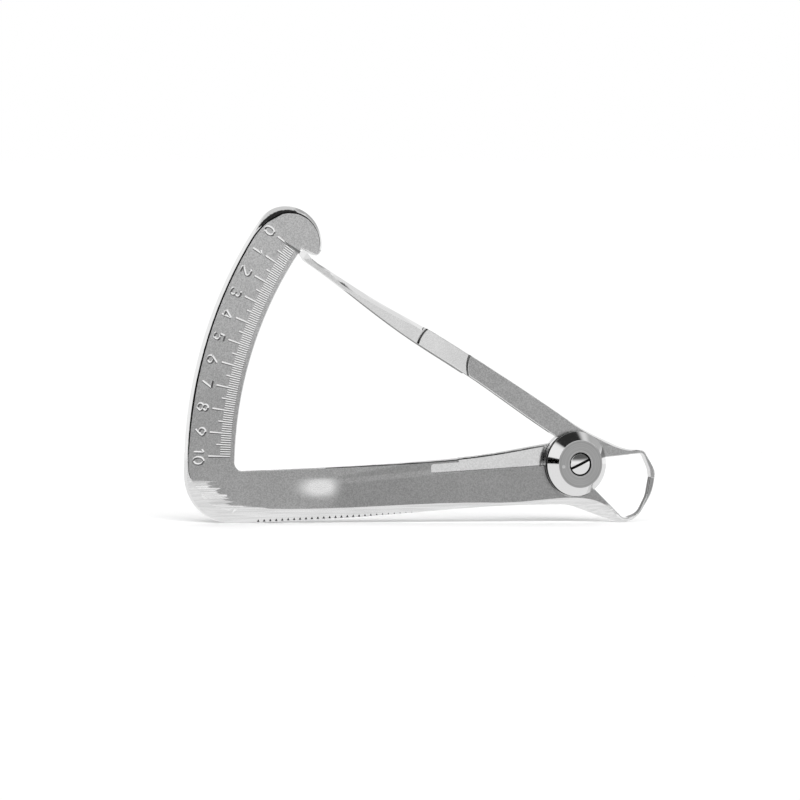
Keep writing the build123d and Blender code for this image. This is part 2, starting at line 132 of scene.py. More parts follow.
def mask(tree, *steps):
    """Product of smooth steps. Each is a value, where it starts and where it ends, and its levels there if
    they aren't nought and one."""
    product = None
    for value, start, end, *levels in steps:
        low, high = levels or (0.0, 1.0)
        step = add(
            tree,
            "ShaderNodeMapRange",
            {"Value": value, "From Min": start, "From Max": end, "To Min": low, "To Max": high},
            interpolation_type="SMOOTHSTEP",
        ).outputs["Result"]
        if product is not None:
            step = add(tree, "ShaderNodeMath", {0: product, 1: step}, operation="MULTIPLY").outputs[0]
        product = step
    return product


def steel(
    name, colour, roughness, mottle, grain_mm, grain_depth, speckle=0.0, stretch=(1, 1, 1), turned=False
):
    """A metal whose grain is noise at the grain's size, stretched along an axis or laid in rings about the
    pivot. The grain drives a fine bump and, by the share given as speckle, lighter and darker specks.
    Clouds of 6 mm vary the roughness. Sizes are in millimetres."""
    material = bpy.data.materials.new(name)
    material.use_nodes = True
    tree = material.node_tree
    shader = tree.nodes["Principled BSDF"]
    shader.inputs["Metallic"].default_value = 1.0
    where = add(tree, "ShaderNodeTexCoord").outputs["Object"]
    grain = {"Scale": 1 / (grain_mm * MM), "Detail": 3.0}
    if turned:
        spoke = add(
            tree,
            "ShaderNodeVectorMath",
            {0: where, 1: (1, 0, 1), 2: (-PIVOT_X, 0, -PIVOT_Z)},
            operation="MULTIPLY_ADD",
        )
        ring = add(tree, "ShaderNodeVectorMath", {0: spoke.outputs["Vector"]}, operation="LENGTH")
        noise = add(
            tree, "ShaderNodeTexNoise", {"W": ring.outputs["Value"], **grain}, noise_dimensions="1D"
        )
    else:
        shares = [1 / size for size in stretch]
        along = add(tree, "ShaderNodeVectorMath", {0: where, 1: shares}, operation="MULTIPLY")
        noise = add(tree, "ShaderNodeTexNoise", {"Vector": along.outputs["Vector"], **grain})
    cloud = add(tree, "ShaderNodeTexNoise", {"Vector": where, "Scale": 1 / (6 * MM), "Detail": 2.0})
    rough = add(
        tree,
        "ShaderNodeMapRange",
        {
            "Value": cloud.outputs["Fac"],
            "From Min": 0.3,
            "From Max": 0.7,
            "To Min": roughness - mottle,
            "To Max": roughness + mottle,
        },
    )
    bump = add(tree, "ShaderNodeBump", {"Height": noise.outputs["Fac"], "Distance": grain_depth * MM})
    tree.links.new(rough.outputs["Result"], shader.inputs["Roughness"])
    tree.links.new(bump.outputs["Normal"], shader.inputs["Normal"])
    if speckle:
        specks = add(
            tree,
            "ShaderNodeMix",
            {
                "Factor": mask(tree, (noise.outputs["Fac"], 0.34, 0.66)),
                "A": tinted(colour, 1 - speckle),
                "B": tinted(colour, 1 + speckle),
            },
            data_type="RGBA",
        )
        tree.links.new(specks.outputs["Result"], shader.inputs["Base Color"])
    else:
        shader.inputs["Base Color"].default_value = linear(colour)
    return material


def worn(material):
    """Adds to the ground arm what hands and polishing have changed, and painted light. The face is painted
    lighter towards the head. A thumb has rubbed an oval smoother, painted bright as a highlight, and on its
    right a band is painted darker as shade with a painted lighter stripe through it. The heel's corner is
    rubbed smoother and painted bright as a reflection up to a ragged line, with streaks along the arm."""
    tree = material.node_tree
    shader = tree.nodes["Principled BSDF"]
    about_pivot = add(
        tree,
        "ShaderNodeVectorMath",
        {
            0: add(tree, "ShaderNodeTexCoord").outputs["Object"],
            1: (1 / MM, 1 / MM, 1 / MM),
            2: (-PIVOT_X / MM, 0, -PIVOT_Z / MM),
        },
        operation="MULTIPLY_ADD",
    ).outputs["Vector"]
    x, depth, y = add(tree, "ShaderNodeSeparateXYZ", {"Vector": about_pivot}).outputs
    middle = FRONT_Y / MM + PLATE / 2
    front_half = (depth, middle + 0.1, middle)

    def streaks(long, tall):
        """Noise drawn out along the arm, from nought to one."""
        shares = (1 / long, 1, 1 / tall)
        drawn = add(tree, "ShaderNodeVectorMath", {0: about_pivot, 1: shares}, operation="MULTIPLY")
        noise = add(
            tree, "ShaderNodeTexNoise", {"Vector": drawn.outputs["Vector"], "Scale": 1.0, "Detail": 2.0}
        )
        return mask(tree, (noise.outputs["Fac"], 0.3, 0.7))

    def above(rise):
        """Height over a line through the pivot that rises by this share of x."""
        return add(tree, "ShaderNodeMath", {0: x, 1: -rise, 2: y}, operation="MULTIPLY_ADD").outputs[0]

    # Oval of the rub and its painted highlight: distance from its centre in shares of its half length and half
    # height, cut off right and top
    centre_x, centre_y, half_long, half_tall = SPOT
    inside = add(
        tree,
        "ShaderNodeVectorMath",
        {
            0: about_pivot,
            1: (1 / half_long, 0, 1 / half_tall),
            2: (-centre_x / half_long, 0, -centre_y / half_tall),
        },
        operation="MULTIPLY_ADD",
    )
    away = add(tree, "ShaderNodeVectorMath", {0: inside.outputs["Vector"]}, operation="LENGTH")
    spot_rub_and_sheen = mask(
        tree,
        front_half,
        (away.outputs["Value"], 1.0, 0.25),
        (y, centre_y + 2.2, centre_y + 1.4),
        (x, centre_x + 6.0, centre_x + 1.8),
    )
    # Band of painted shade: from an upright line to the right, under a line that rises, and fainter in a
    # painted lighter stripe
    over_stripe = above(0.071)
    stripe = mask(tree, (over_stripe, 0.05, 0.95), (over_stripe, 2.05, 1.15))
    painted_shade_band = mask(
        tree,
        front_half,
        (x, -54.0, -50.0),
        (above(0.155), 6.8, 5.8),
        (x, -20.0, -46.0, 0.85, 1.0),
        (stripe, 0.0, 1.0, 1.0, 0.25),
    )
    # Heel: rubbed smoother and painted bright as a reflection below a line that falls to the right in two
    # steps, the first made ragged by streaks
    raggedness = {0: streaks(9.0, 0.5), 1: 4.0, 2: x}
    ragged_x = add(tree, "ShaderNodeMath", raggedness, operation="MULTIPLY_ADD").outputs[0]
    over_line = y
    for line in ((ragged_x, -76.8, -70.8, -1.9, -6.9), (x, -73.0, -63.0, 0.0, -1.6)):
        fall = {0: over_line, 1: mask(tree, line)}
        over_line = add(tree, "ShaderNodeMath", fall, operation="SUBTRACT").outputs[0]
    heel_rub_and_sheen = mask(tree, front_half, (over_line, 0.35, -0.35))

    # Painted light: the colour rises towards the head and falls in the band of painted shade
    share = mask(tree, (y, 4.0, 44.0, 1.0, HEAD_PAINTED_LIGHTER), (painted_shade_band, 0.0, 1.0, 1.0, PAINTED_SHADE_DARKER))
    speckled = shader.inputs["Base Color"].links[0].from_socket
    colour = add(
        tree, "ShaderNodeVectorMath", {0: speckled, "Scale": share}, operation="SCALE"
    ).outputs["Vector"]
    # Painted reflection on the heel: streaked near white
    streaked_sheen = add(
        tree,
        "ShaderNodeMix",
        {"Factor": streaks(16.0, 0.25), "A": linear("#DADADA"), "B": linear("#FFFFFF")},
        data_type="RGBA",
    ).outputs["Result"]
    for where, bright in ((heel_rub_and_sheen, streaked_sheen), (spot_rub_and_sheen, linear("#F2F2F2"))):
        colour = add(
            tree, "ShaderNodeMix", {"Factor": where, "A": colour, "B": bright}, data_type="RGBA"
        ).outputs["Result"]
    tree.links.new(colour, shader.inputs["Base Color"])
    rubbed = add(tree, "ShaderNodeMath", {0: spot_rub_and_sheen, 1: heel_rub_and_sheen}, operation="MAXIMUM").outputs[0]
    rough = shader.inputs["Roughness"].links[0].from_socket
    smoother = add(
        tree, "ShaderNodeMix", {"Factor": rubbed, "A": rough, "B": 0.2}, data_type="FLOAT"
    ).outputs["Result"]
    tree.links.new(smoother, shader.inputs["Roughness"])


# Surface ground faces: fine even grain, soft grey
ground_steel = steel("ground_satin_steel", "#BEBEBE", 0.4, 0.04, 0.2, 0.016, speckle=0.17)
# The same on the scale arm, worn by handling and with painted light: highlight, shade and reflection
worn_steel_with_painted_light = steel("worn_ground_steel_with_painted_light", "#BEBEBE", 0.4, 0.04, 0.2, 0.016, speckle=0.17)
worn(worn_steel_with_painted_light)
# Lapped steps and the pocket's floor: nearly mirrors, and so as bright as the paper they reflect
lapped_steel = steel("lapped_bright_steel", "#DADADA", 0.17, 0.03, 0.3, 0.004, speckle=0.05)
# Polished rims and edges
polished_steel = steel("polished_steel", "#E8E8E8", 0.08, 0.02, 0.6, 0.001)
# Lower bevel: polished on a belt, which leaves streaks along the arm
belted_steel = steel(
    "belted_bevel_steel", "#EAEAEA", 0.2, 0.04, 0.25, 0.012, speckle=0.06, stretch=(40, 1, 1)
)
# Groove walls of the graduations
engraved_steel = steel("engraved_groove_steel", "#FAFAFA", 0.16, 0.03, 0.3, 0.002)
# Painted shade in grey: the groove walls that face up, the pointer's lower edges and step noses, and the scale
# arm's inner jaw edges
painted_shade_grey_steel = steel("painted_shade_grey_edge_steel", "#767676", 0.35, 0.05, 0.3, 0.004)
# Painted shade in near black: the punched teeth, the screw's seat and slot, the drum's side wall and the
# pointer's nose nearer the tip; and a painted dark reflection in the line inside the rim
painted_shade_dark_steel = steel("painted_shade_near_black_steel", "#262626", 0.45, 0.05, 0.3, 0.004)
# Drum's face: rings from the lathe
turned_steel = steel("turned_satin_steel", "#B6B6B6", 0.34, 0.03, 0.35, 0.012, speckle=0.12, turned=True)
# Pin filed flush with the drum: a little brighter than its face
filed_steel = steel("filed_pin_steel", "#D8D8D8", 0.3, 0.03, 0.2, 0.004)
# Hidden running parts
brass = steel("turned_brass", "#C9A45C", 0.3, 0.04, 0.35, 0.006, turned=True)
spring_steel = steel("rolled_spring_steel", "#6E7380", 0.28, 0.04, 0.25, 0.004, stretch=(1, 8, 1))


def weld(mesh, outwards=False):
    """Joins points that lie together. outwards then turns every face of a closed shape outwards."""
    work = bmesh.new()
    work.from_mesh(mesh)
    bmesh.ops.remove_doubles(work, verts=work.verts, dist=0.001 * MM)
    if outwards:
        bmesh.ops.recalc_face_normals(work, faces=work.faces)
    work.to_mesh(mesh)
    work.free()


def merged_copy(node, name):
    """A copy of a CAD node with its loose triangles joined up."""
    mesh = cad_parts[node].data.copy()
    mesh.name = name
    weld(mesh)
    piece = bpy.data.objects.new(name, mesh)
    bpy.context.scene.collection.objects.link(piece)
    return piece


def mesh_piece(name, points, faces):
    """A piece from rows of points and rows of corner numbers."""
    mesh = bpy.data.meshes.new(name)
    mesh.from_pydata(points.reshape(-1, 3).tolist(), [], faces)
    mesh.update()
    piece = bpy.data.objects.new(name, mesh)
    bpy.context.scene.collection.objects.link(piece)
    return piece


def set_materials(piece, materials):
    """Gives a piece these materials, in the order of its slots."""
    piece.data.materials.clear()
    for material in materials:
        piece.data.materials.append(material)


def set_slots(mesh, slots):
    """Gives each face its material's slot."""
    mesh.polygons.foreach_set("material_index", np.asarray(slots, np.int32))
    mesh.update()


def cut(piece, cutter, crossing=False):
    """Cuts a cutter out of a piece and removes it. crossing says that the cutter's parts cross each other."""
    modifier = piece.modifiers.new("cut", "BOOLEAN")
    modifier.operation = "DIFFERENCE"
    modifier.solver = "EXACT"
    modifier.use_self = crossing
    modifier.object = cutter
    graph = bpy.context.evaluated_depsgraph_get()
    mesh = bpy.data.meshes.new_from_object(piece.evaluated_get(graph))
    piece.modifiers.remove(modifier)
    piece.data = mesh
    bpy.data.objects.remove(cutter)


def finish_normals(piece, crease=26.0, flat_crease=13.0):
    """Shading normals. Each corner of a face takes the mean of the face normals round its point, weighted by
    area, of those that lean from its own face by less than the crease. A ground flat keeps its own normal."""
    mesh = piece.data
    normals = read(mesh.polygons, "normal", 3)
    areas = read(mesh.polygons, "area")
    points = read(mesh.loops, "vertex_index", kind=int)
    face = np.repeat(np.arange(len(normals)), read(mesh.polygons, "loop_total", kind=int))
    flat = np.abs(normals[:, 1]) > FLAT
    # Corners at one point lie next to each other, and each is set against the next, then the next but one
    order = np.argsort(points, kind="stable")
    points, face = points[order], face[order]
    total = normals[face] * areas[face, None]
    shift = 1
    while (points[shift:] == points[:-shift]).any():
        first = np.flatnonzero(points[shift:] == points[:-shift])
        second = first + shift
        one, two = face[first], face[second]
        limit = np.where(flat[one] | flat[two], flat_crease, crease)
        joined = (normals[one] * normals[two]).sum(axis=1) > np.cos(np.radians(limit))
        first, second, one, two = first[joined], second[joined], one[joined], two[joined]
        total[first] += normals[two] * areas[two, None]
        total[second] += normals[one] * areas[one, None]
        shift += 1
    total[flat[face]] = normals[face[flat[face]]]
    total /= np.maximum(np.linalg.norm(total, axis=1, keepdims=True), 1e-12)
    result = np.zeros_like(total)
    result[order] = total
    mesh.shade_smooth()
    mesh.normals_split_custom_set(result.tolist())


def groove(path, widths):
    """A V-shaped cutter carried along a path: at each point it has two lips above the face and a keel below,
    a third of the width deep. The keel lies a little lower than midway, so the upper wall is the broader.

    path is rows of x, y. widths is the groove's width on the face at each point.
    """
    path = np.asarray(path, float)
    widths = np.broadcast_to(np.asarray(widths, float), (len(path),))
    depth = widths / 3
    ahead = np.gradient(path, axis=0)
    ahead /= np.linalg.norm(ahead, axis=1, keepdims=True)
    side = np.stack([-ahead[:, 1], ahead[:, 0]], axis=1)
    half = (widths / 2 * (1 + LIP_HEIGHT / depth))[:, None]
    lips = [path + side * half, path - side * half]
    rows = np.stack(
        [
            place(lips[0][:, 0], lips[0][:, 1], LIP_HEIGHT),
            place(lips[1][:, 0], lips[1][:, 1], LIP_HEIGHT),
            place(path[:, 0], path[:, 1] - KEEL_DROP * widths, -depth),
        ],
        axis=1,
    )
    last = 3 * (len(path) - 1)
    walls = 3 * np.arange(len(path) - 1)[:, None, None] + [(0, 1, 4, 3), (1, 2, 5, 4), (2, 0, 3, 5)]
    faces = [*walls.reshape(-1, 4).tolist(), (0, 2, 1), (last, last + 1, last + 2)]
    return rows.reshape(-1, 3), faces


def polar(radius, angle):
    """x and y of a radius and an angle in degrees about the pivot."""
    return np.stack(
        [radius * np.cos(np.radians(angle)), radius * np.sin(np.radians(angle))], axis=-1
    )


def opening_angle(opening):
    """Angle of the needle at an opening of the jaws: the tips are the ends of a chord of the jaw circle."""
    return ZERO_ANGLE + 2 * math.degrees(math.asin(opening / 2 / JAW_RADIUS))


def arc(cx, cy, rx, ry, start, end, count=9):
    """Points on an ellipse's arc, in shares of a digit's height."""
    turn = np.radians(np.linspace(start, end, count))
    return np.stack([cx + rx * np.cos(turn), cy + ry * np.sin(turn)], axis=1)


def digit_strokes(digit):
    """Centre lines of a digit's strokes in a box one unit high, its lower left corner at 0, 0."""
    top = 1.0
    right = DIGIT_BOX
    mid = right / 2
    strokes = {
        "0": [arc(mid, 0.5, mid, 0.5, 90, 450, 17)],
        "1": [np.array([(0.12, 0.76), (mid + 0.04, top), (mid + 0.04, 0.0)])],
        "2": [np.vstack([arc(mid, 0.72, mid, 0.28, 160, -35), [(0.02, 0.0), (right, 0.0)]])],
        "3": [arc(mid, 0.74, mid - 0.03, 0.26, 150, -90), arc(mid, 0.26, mid, 0.26, 90, -150)],
        "4": [np.array([(0.5, 0.0), (0.5, top), (0.0, 0.28), (right, 0.28)])],
        "5": [
            np.vstack(
                [
                    [(right - 0.04, top), (0.1, top), (0.05, 0.56)],
                    arc(mid - 0.02, 0.31, mid, 0.31, 125, -145),
                ]
            )
        ],
        "6": [np.vstack([[(0.5, top), (0.1, 0.52)], arc(mid, 0.29, mid, 0.29, 160, -200, 15)])],
        "7": [np.array([(0.0, top), (right, top), (0.2, 0.0)])],
        "8": [
            arc(mid, 0.76, mid - 0.06, 0.24, 90, 450, 13),
            arc(mid, 0.26, mid, 0.26, 90, 450, 13),
        ],
        "9": [np.vstack([arc(mid, 0.71, mid, 0.29, -20, 340, 15), [(0.54, 0.48), (0.14, 0.0)]])],
    }
    return strokes[digit]


def smooth_runs(line):
    """Cuts a stroke's line wherever it turns by more than 50 degrees, so that each groove keeps its width."""
    ahead = np.diff(line, axis=0)
    ahead /= np.linalg.norm(ahead, axis=1, keepdims=True)
    sharp = (ahead[1:] * ahead[:-1]).sum(axis=1) < math.cos(math.radians(50))
    ends = [0, *(np.flatnonzero(sharp) + 1), len(line) - 1]
    return [line[start : end + 1] for start, end in zip(ends[:-1], ends[1:])]


def rim_line(mesh):
    """The outer edge of the front face, as rows of x, y, from the heel up round the arc and over the head: of
    the face's points in each 3 degrees about the frame's middle, the farthest one. Along the arc only points
    beyond the digits count."""
    facing = -read(mesh.polygons, "normal", 3)[:, 1]
    height = measured(read(mesh.polygons, "center", 3))[2]
    sides = read(mesh.polygons, "loop_total", kind=int)
    corners = read(mesh.loops, "vertex_index", kind=int)
    on_face = np.unique(corners[np.repeat((facing > FLAT) & (height > -0.01), sides)])
    x, y, _ = measured(read(mesh.vertices, "co", 3)[on_face])
    middle_x, middle_y = -60, 30
    angle = np.degrees(np.arctan2(y - middle_y, x - middle_x)) % 360
    reach = np.hypot(x - middle_x, y - middle_y)
    outside = (np.hypot(x, y) > DIGIT_RADIUS + 1.4) | (angle < 100)
    line = []
    for start in np.arange(236, 34, -3.0):
        near = (angle <= start) & (angle > start - 3) & outside
        if near.any():
            best = np.flatnonzero(near)[reach[near].argmax()]
            line.append((x[best], y[best]))
    return np.array(line)


def scale_cutters(rim):
    """All grooves of the scale: tenths, halves and whole millimetres, the digits, tops to the pivot, and the
    line inside the rim, painted near black as the dark reflection along the rim's edge. Gives points, faces and
    how many of the faces are the scale's."""
    parts = []
    for tenth in range(101):
        outer, width = TENTH_OUTER, TENTH_WIDTH
        if tenth % 10 == 0:
            outer, width = WHOLE_OUTER, WHOLE_WIDTH
        elif tenth % 5 == 0:
            outer, width = HALF_OUTER, HALF_WIDTH
        ends = polar(np.array([MARK_INNER, outer]), opening_angle(tenth / 10))
        parts.append(groove(ends, [MARK_WIDTH, width]))
    for whole in range(11):
        angle = opening_angle(whole)
        up = -polar(1.0, angle)
        right = np.array([up[1], -up[0]])
        text = str(whole)
        for index, digit in enumerate(text):
            shift = (index - (len(text) - 1) / 2) * DIGIT_ADVANCE
            centre = polar(DIGIT_RADIUS, angle) + right * shift
            for line in [run for stroke in digit_strokes(digit) for run in smooth_runs(stroke)]:
                local = (line - (DIGIT_BOX / 2, 0.5)) * (DIGIT_WIDTH / DIGIT_BOX, DIGIT_HEIGHT)
                parts.append(groove(centre + local[:, :1] * right + local[:, 1:] * up, DIGIT_STROKE))
    scale_count = sum(len(faces) for rows, faces in parts)
    # The line inside the rim thins out over the last sixth at each end
    share = np.linspace(0, 1, len(rim))
    parts.append(groove(rim, RIM_LINE * np.clip(6 * np.minimum(share, 1 - share), 0.3, 1)))
    points = np.vstack([rows for rows, faces in parts])
    offsets = np.cumsum([0] + [len(rows) for rows, faces in parts]).tolist()
    faces = [
        tuple(corner + offset for corner in face)
        for (rows, part_faces), offset in zip(parts, offsets)
        for face in part_faces
    ]
    return points, faces, scale_count


def within(values, low, high):
    """True where a value lies between two limits."""
    return (values > low) & (values < high)


def dress_arm(piece):
    """Gives each face of an arm its finish from its place and lean: ground front and back, lapped lower steps
    and pocket, belted lower bevel, polished rims, and painted shade: near black in the teeth, grey on the
    pointer's lower edges and step noses and on the scale arm's inner jaw edges. Groove walls keep theirs, but
    those facing up are painted grey as shade. Facing is the share of a face's normal that points to the reader."""
    mesh = piece.data
    rightward, facing, upward = (read(mesh.polygons, "normal", 3) * (1, -1, 1)).T
    x, y, height = measured(read(mesh.polygons, "center", 3))
    from_middle = np.abs(height + PLATE / 2)
    fresh = np.full(len(x), POLISHED)
    fresh[(facing > 0.998) & (height > STEPS_LOWEST)] = LAPPED
    fresh[(np.abs(facing) > FLAT) & (from_middle > PLATE / 2 - 0.01)] = GROUND
    fresh[(facing > 0.999) & (height > PAD_HEIGHT)] = GROUND
    fresh[within(facing, 0.75, 0.999) & (height > STEPS_LOWEST) & (x < 12) & (y < 1)] = BELTED
    # Painted shade: the teeth's walls and floors are near black
    in_teeth = within(x, -69, -35) & (y < -8.4) & within(height, TOOTH_FLOOR - 0.01, -0.3)
    tooth_wall = (np.abs(facing) < 0.05) & (y > -10.3)
    fresh[in_teeth & (tooth_wall | (facing > 0.999))] = DARK
    wall = np.abs(facing) < 0.3
    if piece.name == "pointer_arm_finished":
        # Painted shade: its lower edges and the noses of its two steps, which face the needle's tip, are grey,
        # and the nose nearer the tip is near black
        needle = math.radians(ZERO_ANGLE)
        to_tip = rightward * math.cos(needle) + upward * math.sin(needle)
        noses = within(x, -40, -18) & (to_tip > 0.2) & within(facing, 0.1, 0.97)
        fresh[(wall & within(x, -48, -5) & (upward < -0.3)) | noses] = SHADED
        fresh[noses & (x < -26) & (facing < 0.8)] = DARK
    else:
        # Painted shade: the scale arm's inner jaw edges are grey
        fresh[wall & (x > 12) & within(y, -12, -0.6) & (rightward < -0.1)] = SHADED
    slots = read(mesh.polygons, "material_index", kind=int)
    # Groove walls that face up are painted grey as shade, the rest stay bright
    grooves = np.where(upward > 0.1, SHADED, ENGRAVED)
    set_slots(mesh, np.select([slots == ENGRAVED, slots == DARK], [grooves, DARK], fresh))


# Heights on the arms: below the steps and the pocket, just above the pointer's first step, and in the teeth
STEPS_LOWEST = -1.2
PAD_HEIGHT = -0.33
TOOTH_FLOOR = -0.95

# Slots of the arms' materials
POLISHED, GROUND, LAPPED, ENGRAVED, BELTED, DARK, SHADED = range(7)
EDGE_FINISHES = [lapped_steel, engraved_steel, belted_steel, painted_shade_dark_steel, painted_shade_grey_steel]
ARM_FINISHES = [polished_steel, ground_steel, *EDGE_FINISHES]
SCALE_ARM_FINISHES = [polished_steel, worn_steel_with_painted_light, *EDGE_FINISHES]

# Scale arm with its engraving
scale_arm = merged_copy("scale_arm", "scale_arm_finished")
set_materials(scale_arm, SCALE_ARM_FINISHES)
points, faces, scale_count = scale_cutters(rim_line(scale_arm.data))
cutter = mesh_piece("scale_cutter", points, faces)
set_materials(cutter, SCALE_ARM_FINISHES)
# The cutter's faces past the scale's are near black: the rim line is a painted dark reflection
set_slots(cutter.data, np.where(np.arange(len(faces)) < scale_count, ENGRAVED, DARK))
cut(scale_arm, cutter, crossing=True)
dress_arm(scale_arm)
finish_normals(scale_arm)
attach(scale_arm, "scale_side")
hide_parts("scale_arm")

# Pointer arm
pointer_arm = merged_copy("pointer_arm", "pointer_arm_finished")
set_materials(pointer_arm, ARM_FINISHES)
dress_arm(pointer_arm)
finish_normals(pointer_arm)
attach(pointer_arm, "pointer_side")
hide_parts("pointer_arm")


def turned_piece(name, profile, segments=180):
    """A closed profile of radius and height, in millimetres, carried round the pivot. Points on the axis are
    merged into one."""
    profile = np.asarray(profile, float)
    turn = np.linspace(0, 2 * np.pi, segments, endpoint=False)[:, None]
    points = place(profile[:, 0] * np.cos(turn), profile[:, 0] * np.sin(turn), profile[:, 1])
    ring = len(profile)
    i, j = np.meshgrid(np.arange(segments), np.arange(ring), indexing="ij")
    i2, j2 = (i + 1) % segments, (j + 1) % ring
    faces = np.stack([i * ring + j, i2 * ring + j, i2 * ring + j2, i * ring + j2], axis=-1)
    piece = mesh_piece(name, points, faces.reshape(-1, 4).tolist())
    weld(piece.data, outwards=True)
    return piece


def rounded(corners, radius=0.06, steps=5):
    """A closed profile with each corner cut back by the radius and bowed through it. Corners on the axis
    stay sharp."""
    corners = np.asarray(corners, float)
    before = np.roll(corners, 1, axis=0) - corners
    after = np.roll(corners, -1, axis=0) - corners
    before *= radius / np.linalg.norm(before, axis=1, keepdims=True)
    after *= radius / np.linalg.norm(after, axis=1, keepdims=True)
    share = np.linspace(0, 1, steps)[None, :, None]
    bowed = corners[:, None] + (1 - share) ** 2 * before[:, None] + share**2 * after[:, None]
    keep = (corners[:, 0] > 0)[:, None, None]
    return np.where(keep, bowed, corners[:, None]).reshape(-1, 2)


def dress_turned(piece, zones):
    """Gives each face of a turned piece the last finish whose limits hold its radius, height and lean, and
    the first material where none does."""
    mesh = piece.data
    facing = -read(mesh.polygons, "normal", 3)[:, 1]
    x, y, height = measured(read(mesh.polygons, "center", 3))
    slots = np.zeros(len(x), int)
    for slot, test in zones:
        slots[test(np.hypot(x, y), height, facing)] = slot
    set_slots(mesh, slots)


def slot_cutter(angle, half_long, half_wide, low, high):
    """A bar across the pivot, its sides leaning out a little towards the top."""
    ends = np.array([(-1, -1), (1, -1), (1, 1), (-1, 1)])
    turn = math.radians(angle)
    rows = []
    for height, wide in ((low, half_wide * 0.8), (high, half_wide * 1.1)):
        along, across = ends[:, 0] * half_long, ends[:, 1] * wide
        x = along * math.cos(turn) - across * math.sin(turn)
        y = along * math.sin(turn) + across * math.cos(turn)
        rows.append(place(x, y, height))
    faces = [(3, 2, 1, 0), (4, 5, 6, 7), (0, 1, 5, 4), (1, 2, 6, 5), (2, 3, 7, 6), (3, 0, 4, 7)]
    return mesh_piece("slot_cutter", np.vstack(rows), faces)


# Radii and heights of the drum and the screw, as in the solids. Only the screw's crown and slot differ, and the
# drum has no hole for its pin, which would fill it
DRUM_RADIUS, DRUM_FLAT, DRUM_LIFT, DRUM_WALL, DRUM_TOP = 6.5, 4.8, 0.03, 0.8, 2.6
CAVITY_RADIUS, CAVITY_TOP = 4.7, 1.5
SEAT_RADIUS, SEAT_FLOOR, BORE = 2.4, 1.95, 1.05
SCREW_RADIUS, SCREW_SHANK, SCREW_END = 2.15, 0.98, -0.55
SCREW_CROWN = 0.14
SLOT_ANGLE = 24

# Spring drum: a turned face, the screw seat and the side wall painted near black as shade, the rest polished
DRUM_PROFILE = [
    (CAVITY_RADIUS, DRUM_LIFT),
    (DRUM_RADIUS, DRUM_LIFT),
    (DRUM_RADIUS, DRUM_WALL),
    (DRUM_FLAT, DRUM_TOP),
    (SEAT_RADIUS, DRUM_TOP),
    (SEAT_RADIUS, SEAT_FLOOR),
    (BORE, SEAT_FLOOR),
    (BORE, CAVITY_TOP),
    (CAVITY_RADIUS, CAVITY_TOP),
]
drum = turned_piece("spring_drum_finished", rounded(DRUM_PROFILE))
set_materials(drum, [polished_steel, turned_steel, painted_shade_dark_steel])
dress_turned(
    drum,
    [
        (1, lambda radius, height, facing: (facing > 0.99) & (height > DRUM_TOP - 0.1)),
        # Painted shade: the screw seat and the drum's side wall are near black
        (2, lambda radius, height, facing: (radius < SEAT_RADIUS + 0.02) & (height < DRUM_TOP - 0.1)),
        (2, lambda radius, height, facing: (radius > DRUM_RADIUS - 0.1) & (np.abs(facing) < 0.1)),
    ],
)
finish_normals(drum)
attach(drum, "scale_side")
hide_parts("spring_drum")

# Pivot screw: its head is crowned, a height that falls with the square of the radius
share = np.linspace(0.05, 1, 8)
SCREW_PROFILE = np.vstack(
    [
        [(0, DRUM_TOP)],
        np.stack([(SCREW_RADIUS - 0.1) * share, DRUM_TOP - SCREW_CROWN * share**2], axis=1),
        [(SCREW_RADIUS - 0.04, 2.42), (SCREW_RADIUS, 2.36), (SCREW_RADIUS, SEAT_FLOOR)],
        [(SCREW_SHANK, SEAT_FLOOR), (SCREW_SHANK, SCREW_END), (0, SCREW_END)],
    ]
)
screw = turned_piece("pivot_screw_finished", SCREW_PROFILE)
set_materials(screw, [polished_steel, painted_shade_dark_steel])
# Cutter of the slot, whose faces are near black: the slot is painted shade
bar = slot_cutter(SLOT_ANGLE, half_long=2.6, half_wide=0.27, low=2.0, high=2.8)
set_materials(bar, [polished_steel, painted_shade_dark_steel])
set_slots(bar.data, np.ones(len(bar.data.polygons)))
cut(screw, bar)
finish_normals(screw)
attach(screw, "scale_side")
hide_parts("pivot_screw")

# Nodes that keep their own mesh. The pin's end shows in the drum's face and the post's at the back
PLAIN_FINISHES = {
    "pivot_post": ground_steel,
    "drum_pin": filed_steel,
    "pivot_bush": brass,
    "thrust_washer": brass,
    "torsion_spring": spring_steel,
}
for name, material in PLAIN_FINISHES.items():
    set_materials(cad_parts[name], [material])


# Studio: white paper to stand on, a white wall behind, a dark front with a bright strip low down, a window
# on the left, a lamp on the right, and a box of light overhead
FLOOR_HALF = 0.35
FLOOR_GLOW = 0.05
FLOOR_MIRRORED = 0.9
# The gauge stands on its heel and its lower jaw, and the heel is 1.74 mm above the frame's ground
JAW_FOOT_X = 0.043
FLOOR_SLOPE = -0.00174 / 0.084
WHITE = (1, 1, 1, 1)


def floor_material():
    """White paper that keeps the gauge's shadow for the camera and is even white in the steel."""
    material = bpy.data.materials.new("white_paper_floor")
    material.use_nodes = True
    tree = material.node_tree
    shader = tree.nodes["Principled BSDF"]
    shader.inputs["Roughness"].default_value = 1.0
    shader.inputs["Specular IOR Level"].default_value = 0.0
    shader.inputs["Emission Color"].default_value = WHITE
    ray = add(tree, "ShaderNodeLightPath").outputs
    colour = add(
        tree,
        "ShaderNodeMix",
        {"Factor": ray["Is Glossy Ray"], "A": linear("#F2F2F2"), "B": (0, 0, 0, 1)},
        data_type="RGBA",
    )
    glow = add(tree, "ShaderNodeMath", {0: ray["Is Camera Ray"], 1: FLOOR_GLOW}, operation="MULTIPLY")
    strength = add(
        tree,
        "ShaderNodeMath",
        {0: ray["Is Glossy Ray"], 1: FLOOR_MIRRORED, 2: glow.outputs[0]},
        operation="MULTIPLY_ADD",
    )
    tree.links.new(colour.outputs["Result"], shader.inputs["Base Color"])
    tree.links.new(strength.outputs[0], shader.inputs["Emission Strength"])
    return material


